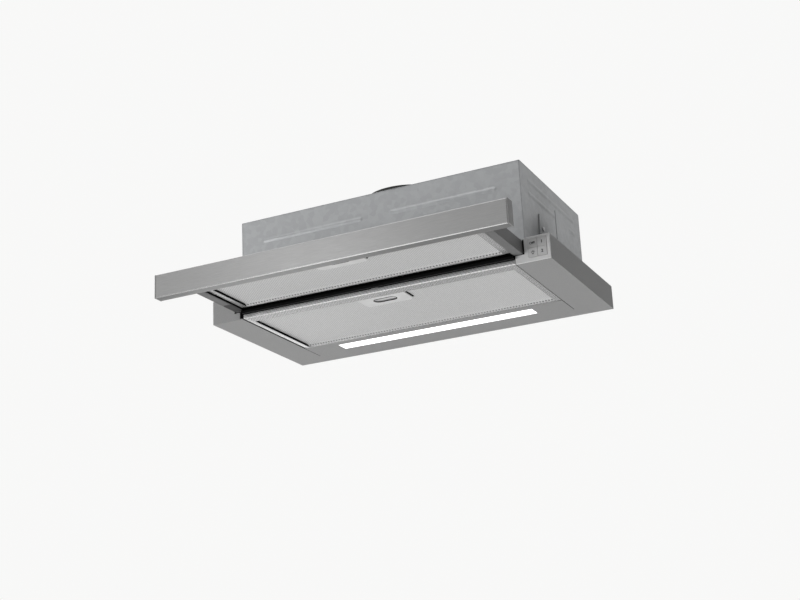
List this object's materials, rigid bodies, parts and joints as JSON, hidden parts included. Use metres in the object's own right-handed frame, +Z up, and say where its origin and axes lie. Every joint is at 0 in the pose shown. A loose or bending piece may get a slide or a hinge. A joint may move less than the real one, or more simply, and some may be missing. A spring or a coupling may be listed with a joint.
{
  "type": "pull out range hood",
  "caption": "Slim pull-out range hood for a wall cabinet, with a sliding visor, hinged grease filters, press switches, a lamp bar and a duct collar.",
  "frame": {"origin": "middle of the front lintel's top face, which lies against the cabinet's floor", "axes": "+X to the right seen from the front, +Y towards the wall, +Z up"},
  "size_m": [0.598, 0.468, 0.208],
  "materials": {
    "grey_paint": "silver-grey powder paint, satin",
    "panel_steel": "fine lengthwise brushing, satin",
    "zinc_steel": "zinc-coated sheet with a faint spangle",
    "aluminium": "satin aluminium, finely perforated",
    "grey_plastic": "silver-grey moulded plastic, satin",
    "pale_plastic": "pale grey moulded plastic, satin",
    "black_plastic": "black moulded plastic",
    "white_plastic": "off-white moulded plastic",
    "lamp_white": "opal diffuser, lit",
    "board_green": "coated circuit board",
    "spring_steel": "bright spring steel"
  },
  "bodies": {
    "hood_body": {"base_tray": "grey_paint", "tray_angle_left": "zinc_steel", "tray_angle_right": "zinc_steel", "collar_flange": "black_plastic", "chassis": "zinc_steel", "casing_front": "zinc_steel", "casing_top": "zinc_steel", "seal_rail": "black_plastic", "end_block_left": "black_plastic", "end_block_right": "black_plastic", "side_bracket_left": "zinc_steel", "side_bracket_right": "zinc_steel", "outlet_collar": "black_plastic", "terminal_box": "white_plastic", "terminal_lid": "white_plastic", "cable_gland": "black_plastic", "capacitor": "white_plastic", "visor_switch": "black_plastic", "control_fascia": "grey_plastic", "switch_board": "board_green", "lamp_diffuser": "lamp_white", "lamp_housing": "white_plastic", "lamp_board": "board_green", "scroll_left": "black_plastic", "scroll_right": "black_plastic", "motor": "zinc_steel", "motor_bracket": "zinc_steel", "slide_fixed_left": "zinc_steel", "slide_fixed_right": "zinc_steel"},
    "visor": {"front_panel": "panel_steel", "panel_cap_left": "grey_plastic", "panel_cap_right": "grey_plastic", "panel_stiffener": "zinc_steel", "visor_cover": "zinc_steel", "visor_rear_beam": "grey_paint", "visor_rail_left": "grey_paint", "visor_rail_right": "grey_paint", "slide_inner_left": "zinc_steel", "slide_inner_right": "zinc_steel"},
    "slide_mid_left": {"slide_middle_left": "zinc_steel"},
    "slide_mid_right": {"slide_middle_right": "zinc_steel"},
    "rear_filter": {"rear_filter_frame": "aluminium", "rear_filter_core": "aluminium", "rear_filter_guide": "black_plastic", "rear_filter_spring": "spring_steel"},
    "rear_latch": {"rear_filter_handle": "pale_plastic"},
    "front_filter": {"front_filter_frame": "aluminium", "front_filter_core": "aluminium", "front_filter_guide": "black_plastic", "front_filter_spring": "spring_steel"},
    "front_latch": {"front_filter_handle": "pale_plastic"},
    "key_off": {"button_off": "grey_plastic"},
    "key_lamp": {"button_lamp": "grey_plastic"},
    "key_speed_1": {"button_speed_1": "grey_plastic"},
    "key_speed_2": {"button_speed_2": "grey_plastic"},
    "wheel": {"fan_wheel": "black_plastic", "motor_shaft": "spring_steel"},
    "flap_left": {"damper_flap_left": "black_plastic"},
    "flap_right": {"damper_flap_right": "black_plastic"}
  },
  "joints": [
    {"name": "visor_slide", "type": "slide", "parent": "hood_body", "child": "visor", "axis": [0, 1, 0], "range_m": [0, 0.149]},
    {"name": "slide_mid_left_slide", "type": "slide", "parent": "hood_body", "child": "slide_mid_left", "axis": [0, 1, 0], "range_m": [0, 0.0745]},
    {"name": "slide_mid_right_slide", "type": "slide", "parent": "hood_body", "child": "slide_mid_right", "axis": [0, 1, 0], "range_m": [0, 0.0745]},
    {"name": "rear_filter_hinge", "type": "hinge", "parent": "hood_body", "child": "rear_filter", "pos_m": [0, 0.1962, -0.0387], "axis": [-1, 0, 0], "range_deg": [-60, 0]},
    {"name": "rear_latch_slide", "type": "slide", "parent": "rear_filter", "child": "rear_latch", "axis": [0, 1, 0], "range_m": [0, 0.005], "stiffness_N_per_m": 800, "springref_m": -0.003, "deforming": ["rear_filter_spring"]},
    {"name": "front_filter_hinge", "type": "hinge", "parent": "visor", "child": "front_filter", "pos_m": [0, -0.0182, -0.0227], "axis": [-1, 0, 0], "range_deg": [-60, 0]},
    {"name": "front_latch_slide", "type": "slide", "parent": "front_filter", "child": "front_latch", "axis": [0, 1, 0], "range_m": [0, 0.005], "stiffness_N_per_m": 800, "springref_m": -0.003, "deforming": ["front_filter_spring"]},
    {"name": "off_press", "type": "slide", "parent": "hood_body", "child": "key_off", "axis": [0, 1, 0], "range_m": [0, 0.0015], "stiffness_N_per_m": 1500, "springref_m": -0.0006},
    {"name": "lamp_press", "type": "slide", "parent": "hood_body", "child": "key_lamp", "axis": [0, 1, 0], "range_m": [0, 0.0015], "stiffness_N_per_m": 1500, "springref_m": -0.0006},
    {"name": "speed_1_press", "type": "slide", "parent": "hood_body", "child": "key_speed_1", "axis": [0, 1, 0], "range_m": [0, 0.0015], "stiffness_N_per_m": 1500, "springref_m": -0.0006},
    {"name": "speed_2_press", "type": "slide", "parent": "hood_body", "child": "key_speed_2", "axis": [0, 1, 0], "range_m": [0, 0.0015], "stiffness_N_per_m": 1500, "springref_m": -0.0006},
    {"name": "wheel_spin", "type": "hinge", "parent": "hood_body", "child": "wheel", "pos_m": [0, 0.102, 0.066], "axis": [1, 0, 0], "continuous": true},
    {"name": "flap_left_hinge", "type": "hinge", "parent": "hood_body", "child": "flap_left", "pos_m": [-0.0055, 0.14, 0.1485], "axis": [0, 1, 0], "range_deg": [0, 78]},
    {"name": "flap_right_hinge", "type": "hinge", "parent": "hood_body", "child": "flap_right", "pos_m": [0.0055, 0.14, 0.1485], "axis": [0, -1, 0], "range_deg": [0, 78]}
  ],
  "couplings": [
    {"joint": "slide_mid_left_slide", "follows": "visor_slide", "ratio": 0.5},
    {"joint": "slide_mid_right_slide", "follows": "visor_slide", "ratio": 0.5}
  ]
}
